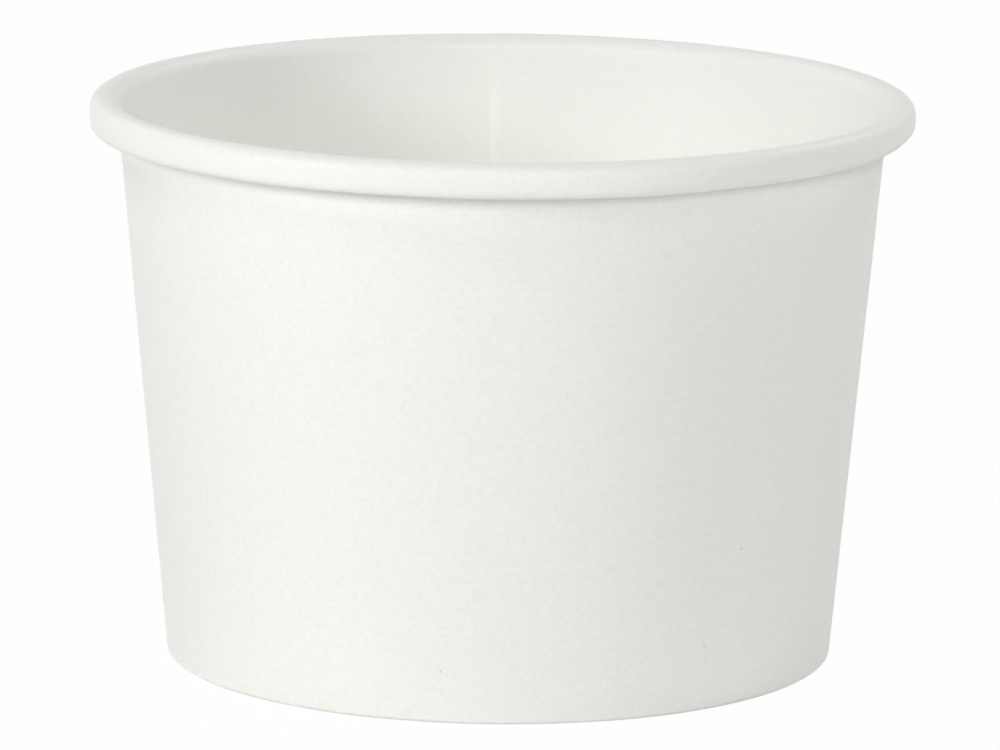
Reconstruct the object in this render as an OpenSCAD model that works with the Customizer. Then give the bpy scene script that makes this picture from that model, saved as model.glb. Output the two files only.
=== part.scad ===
// Paper soup cup: a tapered board sidewall, wrapped and sealed along a lap seam,
// with a hollow rolled rim on top and a folded foot that clamps a recessed base disc.
// Millimetres, +Z up, origin on the cup's axis in the plane that the foot stands on.

/* [Cup] */
// Diameter over the rolled rim
rim_d = 90; // [84:0.5:120]
// Height from the foot to the top of the rim
height = 61.7; // [40:0.1:120]
// Outside diameter of the wall at the foot
foot_d = 73; // [60:0.5:80]

/* [Board] */
// Thickness of the sidewall board
wall_t = 0.45; // [0.3:0.05:0.6]
// Thickness of the base disc's board
disc_t = 0.4; // [0.3:0.05:0.6]
// Film of melted coating between the disc's skirt and the sidewall
seal_t = 0.02; // [0.01:0.01:0.05]

/* [Rolled rim] */
// Width of the roll, from the inside of the wall to the rim's outermost line
roll_w = 3.45; // [2.8:0.05:5]
// Straight stretch on the outer side of the roll
roll_side = 0.55; // [0.3:0.05:1.5]
// Gap between the wall and the edge that is tucked up inside the roll
tuck_gap = 0.1; // [0.08:0.01:0.3]

/* [Side seam] */
// Width of the lap, measured round the neck of the wall
lap_w = 8; // [4:0.5:15]
// Stretch round the neck in which the outer layer climbs on to the inner one
climb_w = 14; // [8:0.5:30]
// Height below the rim in which the seam's inner step is pressed flat
press_h = 5; // [2:0.5:15]
// Direction of the seam, turned from +X towards +Y
seam_turn = 93; // [0:1:359]

/* [Base] */
// Height of the recess under the base disc
recess_h = 7.5; // [5:0.1:15]
// Inside radius of the bend round the disc's edge
disc_bend_r = 0.4; // [0.2:0.05:1]
// Inside radius of the two bends that fold the foot
fold_r = 0.08; // [0.05:0.01:0.15]
// Space between the top of the folded hem and the disc's bend
hem_gap = 0.6; // [0.3:0.1:2]
// Space between the end of the disc's skirt and the bottom of the fold
skirt_gap = 0.3; // [0.1:0.1:1]

/* [Hidden] */

board_white = [0.95, 0.95, 0.93];
disc_white = [0.93, 0.93, 0.91];

// Turn between two neighbouring points of a bend
bend_step = 7.5;
$fn = 96;

// Radii of the roll's centre line: over the top, and tighter where its edge turns in
roll_r = (roll_w - wall_t) / 2;
turn_in_r = roll_r - (wall_t + tuck_gap) / 2;
// Centres of those two bends
roll_at = [rim_d / 2 - wall_t / 2 - roll_r, height - wall_t / 2 - roll_r];
turn_in_at = [roll_at.x + roll_r - turn_in_r, roll_at.y - roll_side];

// Slope of the wall from upright: its outer face runs from the foot to the inside of the roll
roll_from_foot = roll_at - [foot_d / 2, 0];
slope = atan2(roll_from_foot.x, roll_from_foot.y)
      - asin((roll_r - wall_t / 2) / norm(roll_from_foot));

// The board's layers at the foot, as depths square to the wall from its outer face
skirt_depth = wall_t + seal_t;
hem_depth = skirt_depth + disc_t + seal_t;
foot_depth = hem_depth + wall_t;

// The fold: centre-line radius of its bends, and the height where its outer bend ends
fold_mid_r = fold_r + wall_t / 2;
fold_out_r = fold_r + wall_t;
fold_top = 2 * fold_out_r;

// The disc's bend, from the flat disc to its skirt
disc_bend_mid_r = disc_bend_r + disc_t / 2;
disc_bend_z = recess_h - disc_bend_r;
hem_top = disc_bend_z - hem_gap;
skirt_end = wall_t + skirt_gap;

// The seam: thickness of the wall on the level, and the turns of the lap and of the climb
layer = wall_t / cos(slope);
neck_r = wall_r(0, turn_in_at.y);
lap_turn = lap_w / neck_r * 180 / PI;
climb_turn = climb_w / neck_r * 180 / PI;
// Step that is left where the climb meets the lap's outer face
lap_step = layer / 10;
// Sideways shift of the axis that the climb turns about, so that it leaves the wall at a slant
climb_shift = (layer - lap_step) / sin(climb_turn);
climb_from = seam_turn + climb_turn;
// How far the lap's layers run into each other where they are sealed
sealed_in = layer / 20;
// Height above which the seam's inner step is pressed flat, up to the rim
press_from = roll_at.y - press_h;

// Radius, at a height, of the surface that lies this deep in from the wall's outer face
function wall_r(depth, z) = foot_d / 2 + z * tan(slope) - depth / cos(slope);

// A point of a board's centre line: radius, height and the direction its outer face looks
function on_wall(depth, z, facing) = [wall_r(depth, z), z, facing];

// A bend of a centre line about a point; side is 1 where the outer face is on the bend's outside
function bend(at, r, from, to, side) =
    let (steps = ceil(abs(to - from) / bend_step))
    [for (i = [0 : steps])
        let (a = from + (to - from) * i / steps)
        [at.x + r * cos(a), at.y + r * sin(a), side > 0 ? a : a + 180]];

// The face of a board that lies this far to the outer side of its centre line
function face(line, out) = [for (p = line) [p.x + out * cos(p.z), p.y + out * sin(p.z)]];
function backwards(list) = [for (i = [len(list) - 1 : -1 : 0]) list[i]];
function board(line, t) = concat(face(line, t / 2), backwards(face(line, -t / 2)));

// Centre line of the foot: down the hem, round the two bends of the fold
function foot_line() =
    let (
        in_at = [wall_r(foot_depth - fold_out_r, fold_out_r), fold_out_r],
        out_at = [wall_r(fold_out_r, fold_out_r), fold_out_r]
    )
    concat(
        [on_wall(foot_depth - wall_t / 2, hem_top, 180 - slope)],
        bend(in_at, fold_mid_r, 180 - slope, 270, 1),
        bend(out_at, fold_mid_r, 270, 360 - slope, 1)
    );

// Centre line of the rim: over the top, down the side, round underneath and up along the wall
function rim_line() =
    let (
        under = bend(turn_in_at, turn_in_r, 0, -180 - slope, -1),
        end = under[len(under) - 1]
    )
    concat(
        bend(roll_at, roll_r, 180 - slope, 0, -1),
        under,
        [[end.x + roll_side * tan(slope), end.y + roll_side, end.z]]
    );

// Section of the sidewall away from its seam
module sidewall_section() {
    polygon(board(concat(foot_line(), rim_line()), wall_t));
}

// Section of a layer along the wall: from and to are its distances out from the wall's outer face
module layer_section(from, to) {
    top = turn_in_at.y;
    polygon([
        [wall_r(0, fold_top) + from, fold_top],
        [wall_r(0, fold_top) + to, fold_top],
        [wall_r(0, top) + to, top],
        [wall_r(0, top) + from, top]
    ]);
}

// Section of the space inside the climb, from the base disc up to where the rim presses it flat
module climb_space_section() {
    bottom = recess_h + disc_t;
    top = roll_at.y;
    polygon([
        [wall_r(wall_t, bottom) - roll_w, bottom],
        [wall_r(wall_t, bottom), bottom],
        [wall_r(wall_t, press_from), press_from],
        [wall_r(2 * wall_t, top), top],
        [wall_r(wall_t, top) - roll_w, top]
    ]);
}

// Turns a section about the climb's axis, from where it leaves the wall up to the seam
module climb() {
    translate(climb_shift * [sin(climb_from), -cos(climb_from), 0])
        rotate_extrude(angle = climb_turn, start = seam_turn)
            children();
}

// The blank's last edge: it climbs out over the first and ends outside, one lap further on
module seam_outer_layer() {
    union() {
        climb() layer_section(sealed_in - layer, 0);
        rotate_extrude(angle = lap_turn, start = seam_turn - lap_turn)
            layer_section(-sealed_in, layer);
    }
}

// The wrapped blank: inside the cup, its first edge stands as a step beside the climb
module sidewall() {
    color(board_white) union() {
        difference() {
            rotate_extrude() sidewall_section();
            climb() climb_space_section();
        }
        seam_outer_layer();
    }
}

// The base: a flat disc whose edge is bent down into a skirt between the wall and the hem
module base_disc() {
    depth = skirt_depth + disc_t / 2;
    bend_at = [wall_r(depth + disc_bend_mid_r, disc_bend_z), disc_bend_z];
    line = concat(
        [[0, recess_h + disc_t / 2, 90]],
        bend(bend_at, disc_bend_mid_r, 90, -slope, 1),
        [on_wall(depth, skirt_end, -slope)]
    );
    color(disc_white)
        rotate_extrude()
            polygon(board(line, disc_t));
}

sidewall();
base_disc();
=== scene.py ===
import math

import bpy
from mathutils import Matrix, Vector


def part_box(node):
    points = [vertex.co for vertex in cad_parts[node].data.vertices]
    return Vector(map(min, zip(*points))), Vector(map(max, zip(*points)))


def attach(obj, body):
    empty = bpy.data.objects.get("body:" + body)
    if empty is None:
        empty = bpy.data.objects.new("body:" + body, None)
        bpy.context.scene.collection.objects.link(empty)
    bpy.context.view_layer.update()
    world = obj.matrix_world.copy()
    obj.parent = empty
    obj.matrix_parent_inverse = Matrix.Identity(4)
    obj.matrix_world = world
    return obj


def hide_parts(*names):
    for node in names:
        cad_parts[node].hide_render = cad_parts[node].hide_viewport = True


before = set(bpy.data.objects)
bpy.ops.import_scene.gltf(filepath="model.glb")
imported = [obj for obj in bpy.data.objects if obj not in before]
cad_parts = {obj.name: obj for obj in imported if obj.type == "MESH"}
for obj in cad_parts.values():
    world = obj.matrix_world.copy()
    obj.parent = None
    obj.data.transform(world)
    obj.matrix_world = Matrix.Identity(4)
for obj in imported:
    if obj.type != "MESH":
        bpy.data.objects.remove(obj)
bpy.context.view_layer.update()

# Sidewall: one fan-shaped blank of bleached white paperboard with a thin plastic film on its inner face.
# It is wrapped into a cone and heat sealed along a lap down the back. The top edge is curled outwards
# into a hollow roll, and the bottom edge is folded in and up as a hem that clamps the base.
MM = 0.001
wall_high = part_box("sidewall")[1]
disc_low, disc_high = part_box("base_disc")
rim_r = wall_high.x
height = wall_high.z
foot_r = 36.5 * MM
wall_t = 0.45 * MM
disc_t = 0.4 * MM
seal_t = 0.02 * MM

# The roll: how wide it is, its straight outer side, and the gap beside the edge tucked up inside it
roll_w = 3.45 * MM
roll_side = 0.55 * MM
tuck_gap = 0.1 * MM
roll_r = (roll_w - wall_t) / 2
turn_in_r = roll_r - (wall_t + tuck_gap) / 2
roll_at = Vector((rim_r - wall_t / 2 - roll_r, height - wall_t / 2 - roll_r))
turn_in_at = Vector((roll_at.x + roll_r - turn_in_r, roll_at.y - roll_side))

# The wall leans out from the foot to the inside of the roll
lean = roll_at - Vector((foot_r, 0))
slope = math.atan2(lean.x, lean.y) - math.asin((roll_r - wall_t / 2) / lean.length)

# The fold at the foot: layers counted inwards from the wall's outer face, and a hem that ends below the disc
fold_r = 0.08 * MM
fold_mid_r = fold_r + wall_t / 2
fold_out_r = fold_r + wall_t
skirt_depth = wall_t + seal_t
hem_depth = skirt_depth + disc_t + seal_t
foot_depth = hem_depth + wall_t
hem_drop = 1.4 * MM
hem_top = disc_high.z - hem_drop

# The lap seam: where it stands, how wide it is, and how the outer end climbs on to the inner one
seam_turn = math.radians(92.1)
lap_w = 8 * MM
climb_w = 14 * MM
neck_r = foot_r + turn_in_at.y * math.tan(slope)
lap_turn = lap_w / neck_r
climb_turn = climb_w / neck_r
layer = wall_t + seal_t
# The lap is pressed nearly flat towards the rim and the foot: where, and the share of a layer that is left
rim_press_h = 5 * MM
foot_press_top = 4 * MM
rolled_share = 0.12
folded_share = 0.05
# The inner end is skived: its edge is thinned to a slant, so that it shows as a soft line inside the cup
skive_w = 1.2 * MM
skive_turn = skive_w / neck_r
skived_share = 0.8

# Ridges that the sealing wheel leaves on the hem, which fade out towards its top edge
ridge_count = 112
ridge_depth = 0.09 * MM
ridge_fade = 1 * MM

# What the rolling tool leaves: a full upper corner all round, a lower one that is pressed in on the right
# and full elsewhere, and a rim that tilts a little
upper_corner = 0.15 * MM
lower_corner = 0.22 * MM
pressed_corner = -0.15 * MM
rim_tilt = math.radians(0.1)
# The middle of the pressed stretch, and the cosines of the turns from there at which it ends and is full
press_turn = math.radians(-5)
press_end = 0.42
press_full = 0.68

# The board is a little uneven: how deep its waves are, and how long
uneven_depth = 0.08 * MM
uneven_size = 12 * MM

# How finely the bends are drawn, in degrees a step, and the straight stretches, in parts
fold_step = 24
roll_step = 6.5
turn_in_step = 11
hem_parts = 5
wall_parts = 14


def wall_r(depth, z):
    """Radius, at a height, of the surface that lies this deep in from the wall's outer face."""
    return foot_r + z * math.tan(slope) - depth / math.cos(slope)


def ramp(value, start, stop):
    """Smooth rise from 0 at start to 1 at stop."""
    share = min(max((value - start) / (stop - start), 0), 1)
    return share * share * (3 - 2 * share)


def bend(centre, radius, start, stop, side, step):
    """Stations round a bend of the board: radius, height, and the way that its first face looks."""
    count = math.ceil(abs(stop - start) / math.radians(step))
    away = 0 if side > 0 else math.pi
    stations = []
    for i in range(count + 1):
        angle = start + (stop - start) * i / count
        r = centre[0] + radius * math.cos(angle)
        z = centre[1] + radius * math.sin(angle)
        stations.append((r, z, angle + away))
    return stations


def run(first, last, parts):
    """Stations along a straight stretch of board between two others, without its two ends."""
    shares = [i / parts for i in range(1, parts)]
    return [tuple(near + (far - near) * share for near, far in zip(first, last)) for share in shares]


def corner_share(angle):
    """How far a place on the roll's outer side lies towards the corner above or below it, from 0 to 1."""
    return math.sin(2 * angle) ** 2 if abs(angle) < math.pi / 2 else 0


def seam_share(z):
    """How much of a full layer the lap stands out at this height: it is pressed flat at rim and foot."""
    foot_part = ramp(z, 2 * fold_out_r, foot_press_top)
    rim_part = ramp(z, roll_at.y - rim_press_h, roll_at.y)
    return folded_share + (1 - folded_share) * foot_part - (1 - rolled_share) * rim_part


# The blank's section, from the hem's edge to the edge tucked into the roll. Beside its place, each station
# holds how far the lap steps out there, its share of the ridges and its share of the roll's lower corner.
hem_end = (wall_r(foot_depth - wall_t / 2, hem_top), hem_top, math.pi - slope)
fold_in_at = (wall_r(foot_depth - fold_out_r, fold_out_r), fold_out_r)
fold_out_at = (wall_r(fold_out_r, fold_out_r), fold_out_r)
fold = bend(fold_in_at, fold_mid_r, math.pi - slope, 1.5 * math.pi, 1, fold_step)
fold += bend(fold_out_at, fold_mid_r, 1.5 * math.pi, 2 * math.pi - slope, 1, fold_step)[1:]
fold[-1] = fold[-1][:2] + (-slope,)
roll = []
for r, z, facing in bend(roll_at, roll_r, math.pi - slope, 0, -1, roll_step):
    angle = facing - math.pi
    out = upper_corner * corner_share(angle)
    roll.append((r + out * math.cos(angle), z + out * math.sin(angle), facing))
roll[0] = roll[0][:2] + (-slope,)
under = bend(turn_in_at, turn_in_r, 0, -math.pi - slope, -1, turn_in_step)
tuck_end = (under[-1][0] + roll_side * math.tan(slope), under[-1][1] + roll_side, under[-1][2])
hem = [hem_end] + run(hem_end, fold[0], hem_parts)
wall = run(fold[-1], roll[0], wall_parts)
blank = []
for station in hem:
    blank.append(station + (folded_share * layer, ramp(station[1], hem_top, hem_top - ridge_fade), 0))
blank += [station + (folded_share * layer, 0, 0) for station in fold]
blank += [station + (seam_share(station[1]) * layer, 0, 0) for station in wall]
blank += [station + (rolled_share * layer, 0, 0) for station in roll]
blank += [station + (rolled_share * layer, 0, corner_share(station[2] - math.pi)) for station in under]
blank.append(tuck_end + (rolled_share * layer, 0, 0))
lap = [station + (seam_share(station[1]) * layer, 0, 0) for station in [fold[-1]] + wall + [roll[0]]]


# What each point of a section carries into the sweep
STATION_VALUES = {
    "station": "FLOAT_VECTOR",
    "outward": "FLOAT_VECTOR",
    "way": "FLOAT",
    "side": "FLOAT",
    "step_out": "FLOAT",
    "pressed": "FLOAT",
    "corner": "FLOAT",
    "first_turn": "FLOAT",
    "last_turn": "FLOAT",
}


def add(tree, kind, inputs=None, **settings):
    """Adds a node with its settings. Inputs go by name or number, and another node gives its first output."""
    node = tree.nodes.new(kind)
    for name, value in settings.items():
        setattr(node, name, value)
    for key, value in (inputs or {}).items():
        if isinstance(value, bpy.types.Node):
            value = value.outputs[0]
        if isinstance(value, bpy.types.NodeSocket):
            tree.links.new(value, node.inputs[key])
        else:
            node.inputs[key].default_value = value
    return node


def make_wrap_tree():
    """Builds the tree that sweeps a section round the cup's axis, with its lap, ridges and tilt."""
    tree = bpy.data.node_groups.new("wrap_board", "GeometryNodeTree")
    sockets = {
        "Section": "NodeSocketGeometry",
        "Thickness": "NodeSocketFloat",
        "Steps round": "NodeSocketInt",
        "Cut ends": "NodeSocketBool",
        "Climb from": "NodeSocketFloat",
        "Climb to": "NodeSocketFloat",
        "Skive from": "NodeSocketFloat",
        "Skive to": "NodeSocketFloat",
        "Skived share": "NodeSocketFloat",
        "Ridge count": "NodeSocketFloat",
        "Ridge depth": "NodeSocketFloat",
        "Unevenness": "NodeSocketFloat",
        "Uneven size": "NodeSocketFloat",
        "Press turn": "NodeSocketFloat",
        "Press end": "NodeSocketFloat",
        "Press full": "NodeSocketFloat",
        "Full corner": "NodeSocketFloat",
        "Pressed corner": "NodeSocketFloat",
        "Tilt": "NodeSocketFloat",
        "First face": "NodeSocketMaterial",
        "Second face": "NodeSocketMaterial",
        "Cut edge": "NodeSocketMaterial",
    }
    for name, kind in sockets.items():
        tree.interface.new_socket(name, in_out="INPUT", socket_type=kind)
    tree.interface.new_socket("Board", in_out="OUTPUT", socket_type="NodeSocketGeometry")
    given = add(tree, "NodeGroupInput").outputs
    kept = {}
    for name, kind in STATION_VALUES.items():
        kept[name] = add(tree, "GeometryNodeInputNamedAttribute", {"Name": name}, data_type=kind)

    # The flat sweep: the section along a straight line, with each point's share of the way kept
    place = add(tree, "GeometryNodeInputPosition")
    section = add(tree, "GeometryNodeStoreNamedAttribute",
                  {"Geometry": given["Section"], "Name": "station", "Value": place},
                  data_type="FLOAT_VECTOR", domain="POINT")
    section = add(tree, "GeometryNodeMeshToCurve", {"Mesh": section})
    line = add(tree, "GeometryNodeCurvePrimitiveLine")
    stops = add(tree, "ShaderNodeMath", {0: given["Steps round"], 1: 1}, operation="ADD")
    line = add(tree, "GeometryNodeResampleCurve", {"Curve": line, "Count": stops})
    share = add(tree, "GeometryNodeSplineParameter").outputs["Factor"]
    line = add(tree, "GeometryNodeStoreNamedAttribute",
               {"Geometry": line, "Name": "way", "Value": share}, data_type="FLOAT", domain="POINT")
    sweep = add(tree, "GeometryNodeCurveToMesh",
                {"Curve": line, "Profile Curve": section, "Fill Caps": given["Cut ends"]})

    # How far round each point lies, and the middle of the board there
    turn = add(tree, "ShaderNodeMapRange",
               {"Value": kept["way"], "To Min": kept["first_turn"], "To Max": kept["last_turn"]})
    middle = add(tree, "ShaderNodeVectorRotate",
                 {"Vector": kept["station"], "Angle": turn}, rotation_type="Z_AXIS")

    # How far it stands out from there: half the board, the climb at the lap, and the skive on the inner face
    half = add(tree, "ShaderNodeMath", {0: kept["side"], 1: given["Thickness"]}, operation="MULTIPLY")
    half = add(tree, "ShaderNodeMath", {0: half, 1: 0.5}, operation="MULTIPLY")
    climb = add(tree, "ShaderNodeMapRange",
                {"Value": turn, "From Min": given["Climb from"], "From Max": given["Climb to"]},
                interpolation_type="SMOOTHSTEP")
    inner = add(tree, "ShaderNodeMath", {0: kept["side"], 1: -0.5, 2: 0.5}, operation="MULTIPLY_ADD")
    skive = add(tree, "ShaderNodeMapRange",
                {"Value": turn, "From Min": given["Skive from"], "From Max": given["Skive to"],
                 "To Max": given["Skived share"]}, interpolation_type="SMOOTHSTEP")
    climb = add(tree, "ShaderNodeMath", {0: skive, 1: inner, 2: climb}, operation="MULTIPLY_ADD")
    out = add(tree, "ShaderNodeMath", {0: climb, 1: kept["step_out"], 2: half}, operation="MULTIPLY_ADD")

    # Then the ridges, the board's waves, and the roll's lower corner
    ridge = add(tree, "ShaderNodeMath", {0: turn, 1: given["Ridge count"]}, operation="MULTIPLY")
    ridge = add(tree, "ShaderNodeMath", {0: ridge}, operation="COSINE")
    ridge = add(tree, "ShaderNodeMath", {0: ridge, 1: given["Ridge depth"]}, operation="MULTIPLY")
    out = add(tree, "ShaderNodeMath", {0: ridge, 1: kept["pressed"], 2: out}, operation="MULTIPLY_ADD")
    fineness = add(tree, "ShaderNodeMath", {0: 1, 1: given["Uneven size"]}, operation="DIVIDE")
    uneven = add(tree, "ShaderNodeTexNoise", {"Vector": middle, "Scale": fineness, "Detail": 1})
    uneven = add(tree, "ShaderNodeMath", {0: uneven, 1: 0.5}, operation="SUBTRACT")
    out = add(tree, "ShaderNodeMath", {0: uneven, 1: given["Unevenness"], 2: out}, operation="MULTIPLY_ADD")
    near = add(tree, "ShaderNodeMath", {0: turn, 1: given["Press turn"]}, operation="SUBTRACT")
    near = add(tree, "ShaderNodeMath", {0: near}, operation="COSINE")
    corner = add(tree, "ShaderNodeMapRange",
                 {"Value": near, "From Min": given["Press end"], "From Max": given["Press full"],
                  "To Min": given["Full corner"], "To Max": given["Pressed corner"]},
                 interpolation_type="SMOOTHSTEP")
    corner = add(tree, "ShaderNodeMath", {0: corner, 1: kept["corner"]}, operation="MULTIPLY")
    out = add(tree, "ShaderNodeMath", {0: out, 1: corner}, operation="SUBTRACT")
    moved = add(tree, "ShaderNodeVectorMath", {0: kept["outward"], "Scale": out}, operation="SCALE")
    moved = add(tree, "ShaderNodeVectorMath", {0: kept["station"], 1: moved}, operation="ADD")
    moved = add(tree, "ShaderNodeVectorRotate", {"Vector": moved, "Angle": turn}, rotation_type="Z_AXIS")

    # The tilt: it grows with height, so the foot stays level
    parts = add(tree, "ShaderNodeSeparateXYZ", {0: moved}).outputs
    sunk = add(tree, "ShaderNodeMath", {0: parts["X"], 1: parts["Z"]}, operation="MULTIPLY")
    sunk = add(tree, "ShaderNodeMath", {0: sunk, 1: given["Tilt"]}, operation="MULTIPLY")
    sunk = add(tree, "ShaderNodeMath", {0: parts["Z"], 1: sunk}, operation="SUBTRACT")
    moved = add(tree, "ShaderNodeCombineXYZ", {"X": parts["X"], "Y": parts["Y"], "Z": sunk})
    board = add(tree, "GeometryNodeSetPosition", {"Geometry": sweep, "Position": moved})

    # A piece without cut ends closes on itself where its points meet
    meeting_gap = 0.001 * MM
    endless = add(tree, "FunctionNodeBooleanMath", {0: given["Cut ends"]}, operation="NOT")
    board = add(tree, "GeometryNodeMergeByDistance",
                {"Geometry": board, "Selection": endless, "Distance": meeting_gap})

    # A face whose points all lie on one side is a face of the board, and the rest are cut edges
    first = add(tree, "FunctionNodeCompare", {0: kept["side"], 1: 0.5}, operation="GREATER_THAN")
    second = add(tree, "FunctionNodeCompare", {0: kept["side"], 1: -0.5}, operation="LESS_THAN")
    board = add(tree, "GeometryNodeRealizeInstances", {"Geometry": board})
    board = add(tree, "GeometryNodeSetMaterial", {"Geometry": board, "Material": given["Cut edge"]})
    board = add(tree, "GeometryNodeSetMaterial",
                {"Geometry": board, "Selection": first, "Material": given["First face"]})
    board = add(tree, "GeometryNodeSetMaterial",
                {"Geometry": board, "Selection": second, "Material": given["Second face"]})
    add(tree, "NodeGroupOutput", {"Board": board})
    return tree


wrap_tree = make_wrap_tree()


def wrap(name, loops, inputs):
    """Makes a board piece: each loop is a section with the turns between which it is swept.
    A section that starts on the axis stays open there, and closes when its points on the axis are merged."""
    points = []
    edges = []
    values = {"side": [], "step_out": [], "pressed": [], "corner": [], "first_turn": [], "last_turn": []}
    outward = []
    for stations, first_turn, last_turn in loops:
        start = len(points)
        ring = [(station, 1) for station in stations] + [(station, -1) for station in reversed(stations)]
        for (r, z, facing, *pulls), side in ring:
            points.append((r, 0, z))
            outward += [math.cos(facing), 0, math.sin(facing)]
            for key, value in zip(values, (side, *pulls, first_turn, last_turn)):
                values[key].append(value)
        edges += [(start + i, start + i + 1) for i in range(len(ring) - 1)]
        if stations[0][0] > 0:
            edges.append((start + len(ring) - 1, start))
    mesh = bpy.data.meshes.new(name)
    mesh.from_pydata(points, edges, [])
    mesh.attributes.new("outward", "FLOAT_VECTOR", "POINT").data.foreach_set("vector", outward)
    for key, column in values.items():
        mesh.attributes.new(key, "FLOAT", "POINT").data.foreach_set("value", column)
    piece = bpy.data.objects.new(name, mesh)
    bpy.context.scene.collection.objects.link(piece)
    maker = piece.modifiers.new("wrap", "NODES")
    maker.node_group = wrap_tree
    for socket in wrap_tree.interface.items_tree:
        if socket.name in inputs:
            maker[socket.identifier] = inputs[socket.name]
    graph = bpy.context.evaluated_depsgraph_get()
    swept = bpy.data.meshes.new_from_object(piece.evaluated_get(graph), depsgraph=graph)
    piece.modifiers.remove(maker)
    piece.data = swept
    swept.name = name
    bpy.data.meshes.remove(mesh)
    for key in STATION_VALUES:
        swept.attributes.remove(swept.attributes[key])
    # Bends are shaded as curves, and only the board's cut edges stay sharp
    sharp_angle = math.radians(40)
    swept.shade_smooth()
    swept.set_sharp_from_angle(angle=sharp_angle)
    # This keeps the steps of the sweep out of the shading where light grazes the wall
    piece.cycles.shadow_terminator_geometry_offset = 0.3
    return piece


def colour(hex_code):
    """Linear colour, with full alpha, of an sRGB hex code."""
    parts = [int(hex_code[i:i + 2], 16) / 255 for i in (1, 3, 5)]
    linear = [part / 12.92 if part <= 0.04045 else ((part + 0.055) / 1.055) ** 2.4 for part in parts]
    return (*linear, 1)


def board_material(name, light, dark, roughness, gleam, relief, specks=()):
    """Paperboard: a fine grain where fibres lie thicker, and here and there a darker fibre speck."""
    grain_size = 0.5 * MM
    grain_thin = 0.3
    grain_thick = 0.7
    speck_r = 0.25 * MM
    speck_grey = colour("#D8D7D0")
    material = bpy.data.materials.new(name)
    material.use_nodes = True
    tree = material.node_tree
    place = add(tree, "ShaderNodeTexCoord").outputs["Object"]
    grain = add(tree, "ShaderNodeTexNoise", {"Vector": place, "Scale": 1 / grain_size, "Detail": 3})
    tone = add(tree, "ShaderNodeMapRange", {"Value": grain, "From Min": grain_thin, "From Max": grain_thick})
    tone = add(tree, "ShaderNodeMix", {0: tone, 6: colour(dark), 7: colour(light)}, data_type="RGBA")
    for speck_turn, speck_z in specks:
        r = wall_r(0, speck_z)
        spot = (r * math.cos(speck_turn), r * math.sin(speck_turn), speck_z)
        away = add(tree, "ShaderNodeVectorMath", {0: place, 1: spot}, operation="DISTANCE")
        clear = add(tree, "ShaderNodeMapRange",
                    {"Value": away.outputs["Value"], "From Min": 0, "From Max": speck_r},
                    interpolation_type="SMOOTHSTEP")
        tone = add(tree, "ShaderNodeMix", {0: clear, 6: speck_grey, 7: tone.outputs[2]}, data_type="RGBA")
    bump = add(tree, "ShaderNodeBump", {"Height": grain, "Distance": relief})
    shader = tree.nodes["Principled BSDF"]
    shader.inputs["Roughness"].default_value = roughness
    shader.inputs["Specular IOR Level"].default_value = gleam
    tree.links.new(tone.outputs[2], shader.inputs["Base Color"])
    tree.links.new(bump.outputs[0], shader.inputs["Normal"])
    return material


# The outer face is matt white and shows a little grain and three specks low on the front
front_specks = (
    (math.radians(-99.4), 5.8 * MM),
    (math.radians(-53.7), 7.3 * MM),
    (math.radians(-47.2), 17.5 * MM),
)
outside_board = board_material(
    "bleached_paperboard", "#FAFAF7", "#F5F5F1", roughness=0.6, gleam=0.5, relief=0.01 * MM,
    specks=front_specks
)
# The film gives the inner face, which the roll turns outwards, a satin gleam
coated_board = board_material(
    "film_coated_paperboard", "#FBFBF7", "#F7F7F2", roughness=0.5, gleam=0.35, relief=0.006 * MM
)
# The raw edge is rougher and shows the board's creamier core
edge_board = board_material(
    "cut_board_edge", "#F1F0EA", "#E8E6DE", roughness=0.85, gleam=0.5, relief=0.02 * MM
)

sidewall = wrap(
    "cup_sidewall",
    [
        (blank, seam_turn, seam_turn - 2 * math.pi),
        (lap, seam_turn - 2 * math.pi, seam_turn - 2 * math.pi - lap_turn),
    ],
    {
        "Thickness": wall_t,
        "Steps round": 540,
        "Cut ends": True,
        "Climb from": seam_turn - 2 * math.pi + climb_turn,
        "Climb to": seam_turn - 2 * math.pi,
        "Skive from": seam_turn - skive_turn,
        "Skive to": seam_turn,
        "Skived share": skived_share,
        "Ridge count": ridge_count,
        "Ridge depth": ridge_depth,
        "Unevenness": uneven_depth,
        "Uneven size": uneven_size,
        "Press turn": press_turn,
        "Press end": press_end,
        "Press full": press_full,
        "Full corner": lower_corner,
        "Pressed corner": pressed_corner,
        "Tilt": rim_tilt / height,
        "First face": outside_board,
        "Second face": coated_board,
        "Cut edge": edge_board,
    },
)
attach(sidewall, "root")
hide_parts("sidewall")

# Base disc: one round blank of the same board, coated on its upper face. Its edge is drawn down into a
# skirt with fine pleats, and the skirt is sealed between the wall and the folded hem.
disc_bend_r = 0.4 * MM
disc_bend_mid_r = disc_bend_r + disc_t / 2
disc_mid_z = disc_high.z - disc_t / 2
disc_bend_z = disc_mid_z - disc_bend_mid_r
disc_bend_step = 12
disc_parts = 10
skirt_parts = 4
pleat_depth = 0.04 * MM
skirt_mid = skirt_depth + disc_t / 2
disc_bend_at = (wall_r(skirt_mid + disc_bend_mid_r, disc_bend_z), disc_bend_z)
disc_centre = (0, disc_mid_z, math.pi / 2)
skirt_end = (wall_r(skirt_mid, disc_low.z), disc_low.z, -slope)
drawn = bend(disc_bend_at, disc_bend_mid_r, math.pi / 2, -slope, 1, disc_bend_step)
flat = [disc_centre] + run(disc_centre, drawn[0], disc_parts)
skirt = run(drawn[-1], skirt_end, skirt_parts) + [skirt_end]
disc_section = [station + (0, 0, 0) for station in flat]
disc_section += [station + (0, 1, 0) for station in drawn]
disc_section += [station + (0, 0, 0) for station in skirt]

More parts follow.
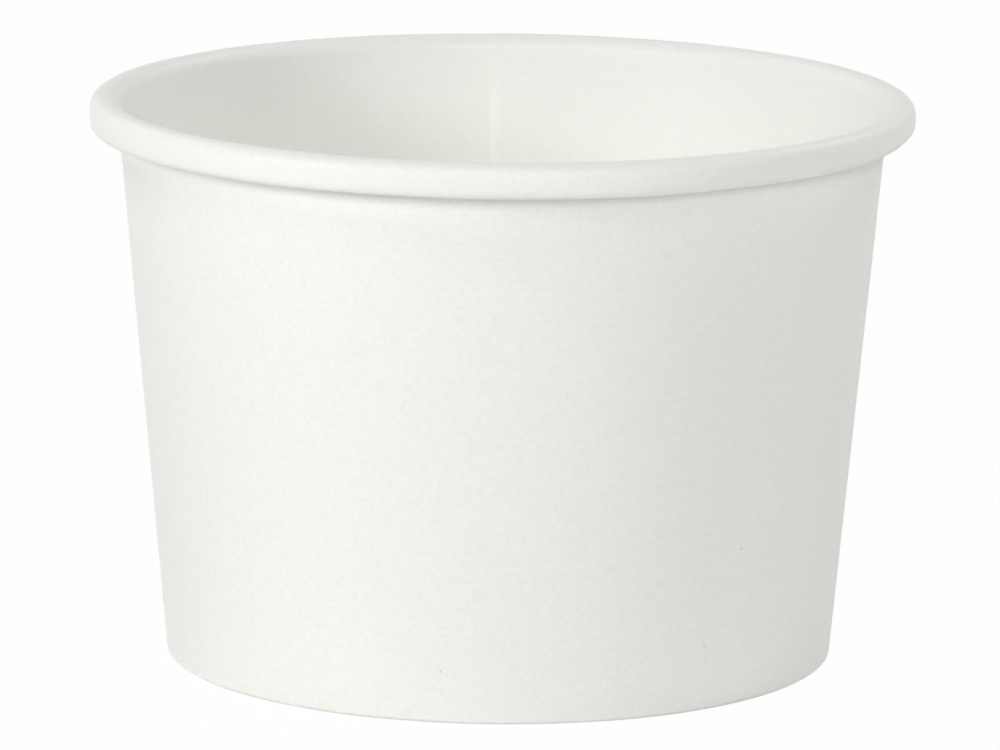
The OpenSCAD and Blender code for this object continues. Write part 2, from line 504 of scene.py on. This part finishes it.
# It has pleats where the wall has ridges, and no lap, skive or rolled corner
base_disc = wrap(
    "cup_base_disc",
    [(disc_section, 0, 2 * math.pi)],
    {
        "Thickness": disc_t,
        "Steps round": 560,
        "Cut ends": False,
        "Climb from": 0,
        "Climb to": 1,
        "Skive from": 0,
        "Skive to": 1,
        "Skived share": 0,
        "Ridge count": ridge_count,
        "Ridge depth": pleat_depth,
        "Unevenness": uneven_depth,
        "Uneven size": uneven_size,
        "Press turn": 0,
        "Press end": 0,
        "Press full": 1,
        "Full corner": 0,
        "Pressed corner": 0,
        "Tilt": rim_tilt / height,
        "First face": coated_board,
        "Second face": outside_board,
        "Cut edge": edge_board,
    },
)
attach(base_disc, "root")
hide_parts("base_disc")

# Table: a white sheet, large enough to run out of every view. It shows white to the camera, still takes a
# little of the cup's shadow, and throws light up on to the wall and the roll.
table_half = 3.0
shown_white = 0.97
table_mesh = bpy.data.meshes.new("table")
corners = [(-table_half, -table_half, 0), (table_half, -table_half, 0),
           (table_half, table_half, 0), (-table_half, table_half, 0)]
table_mesh.from_pydata(corners, [], [(0, 1, 2, 3)])
table = bpy.data.objects.new("table", table_mesh)
bpy.context.scene.collection.objects.link(table)


def looked_at(tree):
    """Gives 1 to rays that look, straight, in a gleam or through glass, and 0 to rays that gather light."""
    rays = add(tree, "ShaderNodeLightPath").outputs
    seen = add(tree, "ShaderNodeMath", {0: rays["Is Camera Ray"], 1: rays["Is Glossy Ray"]}, operation="ADD")
    return add(tree, "ShaderNodeMath", {0: seen, 1: rays["Is Transmission Ray"]},
               operation="ADD", use_clamp=True)


# The sheet is smooth matt white paper, with no grain that could show from a step away
sheet_white = bpy.data.materials.new("white_sheet")
sheet_white.use_nodes = True
sheet_tree = sheet_white.node_tree
sheet_tree.nodes.clear()
seen = add(sheet_tree, "ShaderNodeMath", {0: looked_at(sheet_tree), 1: shown_white}, operation="MULTIPLY")
lit = add(sheet_tree, "ShaderNodeBsdfDiffuse", {"Color": colour("#F2F2F0")})
white = add(sheet_tree, "ShaderNodeEmission", {"Color": colour("#FFFFFF"), "Strength": 1.0})
sheet = add(sheet_tree, "ShaderNodeMixShader", {0: seen, 1: lit, 2: white})
add(sheet_tree, "ShaderNodeOutputMaterial", {"Surface": sheet})
table_mesh.materials.append(sheet_white)

# Studio light: a dim room that shows plain white, and soft panels. The strongest is low to the left, with one
# above it. Weaker ones lift the front and the right, and two behind shine over the rim into the cup.
room_level = 0.02
room = bpy.data.worlds.new("white_room")
bpy.context.scene.world = room
room.use_nodes = True
room_tree = room.node_tree
room_tree.nodes.clear()
room_light = add(room_tree, "ShaderNodeBackground", {"Color": colour("#FFFFFF"), "Strength": room_level})
room_seen = add(room_tree, "ShaderNodeBackground", {"Color": colour("#FFFFFF"), "Strength": 1.0})
room_mix = add(room_tree, "ShaderNodeMixShader", {0: looked_at(room_tree), 1: room_light, 2: room_seen})
add(room_tree, "ShaderNodeOutputWorld", {"Surface": room_mix})

# Each panel's turn from the front towards the right and its rise, in degrees, and its watts
panel_side = 0.3
panel_far = 1.0
panel_aim = Vector((0, 0, height / 2))
panels = {
    "left_panel": (-55, 20, 4.2),
    "high_left_panel": (-55, 55, 1.3),
    "front_panel": (10, 20, 2.7),
    "right_panel": (75, 19, 1.0),
    "high_right_panel": (75, 38, 1.1),
    "back_right_panel": (140, 38, 2.4),
    "back_left_panel": (220, 38, 1.8),
}
for name, (panel_turn, panel_rise, watts) in panels.items():
    round_way = math.radians(panel_turn)
    up_way = math.radians(panel_rise)
    way = Vector((
        math.sin(round_way) * math.cos(up_way),
        -math.cos(round_way) * math.cos(up_way),
        math.sin(up_way),
    ))
    panel_data = bpy.data.lights.new(name, "AREA")
    panel_data.size = panel_side
    panel_data.energy = watts
    panel = bpy.data.objects.new(name, panel_data)
    panel.location = panel_aim + way * panel_far
    panel.rotation_euler = way.to_track_quat("Z", "Y").to_euler()
    bpy.context.scene.collection.objects.link(panel)

# Camera: a long lens that looks down on the rim at about 11 degrees. It is rolled by half a degree, so that
# the cup stands in the frame as it was photographed.
camera_data = bpy.data.cameras.new("camera")
camera_data.sensor_width = 36
camera_data.lens = 285.44
camera_data.clip_start = 0.01
camera_data.clip_end = 20
camera = bpy.data.objects.new("camera", camera_data)
camera_far = 870.8 * MM
camera_rise = math.radians(11.354)
camera_roll = math.radians(0.5134)
camera_aim = Vector((-0.045, 0, 30.559)) * MM
camera_way = Vector((0, -math.cos(camera_rise), math.sin(camera_rise)))
camera_turn = Matrix.Rotation(math.pi / 2 - camera_rise, 4, "X") @ Matrix.Rotation(camera_roll, 4, "Z")
camera.matrix_world = Matrix.Translation(camera_aim + camera_way * camera_far) @ camera_turn
bpy.context.scene.collection.objects.link(camera)
bpy.context.scene.camera = camera
bpy.context.scene.view_settings.view_transform = "Standard"
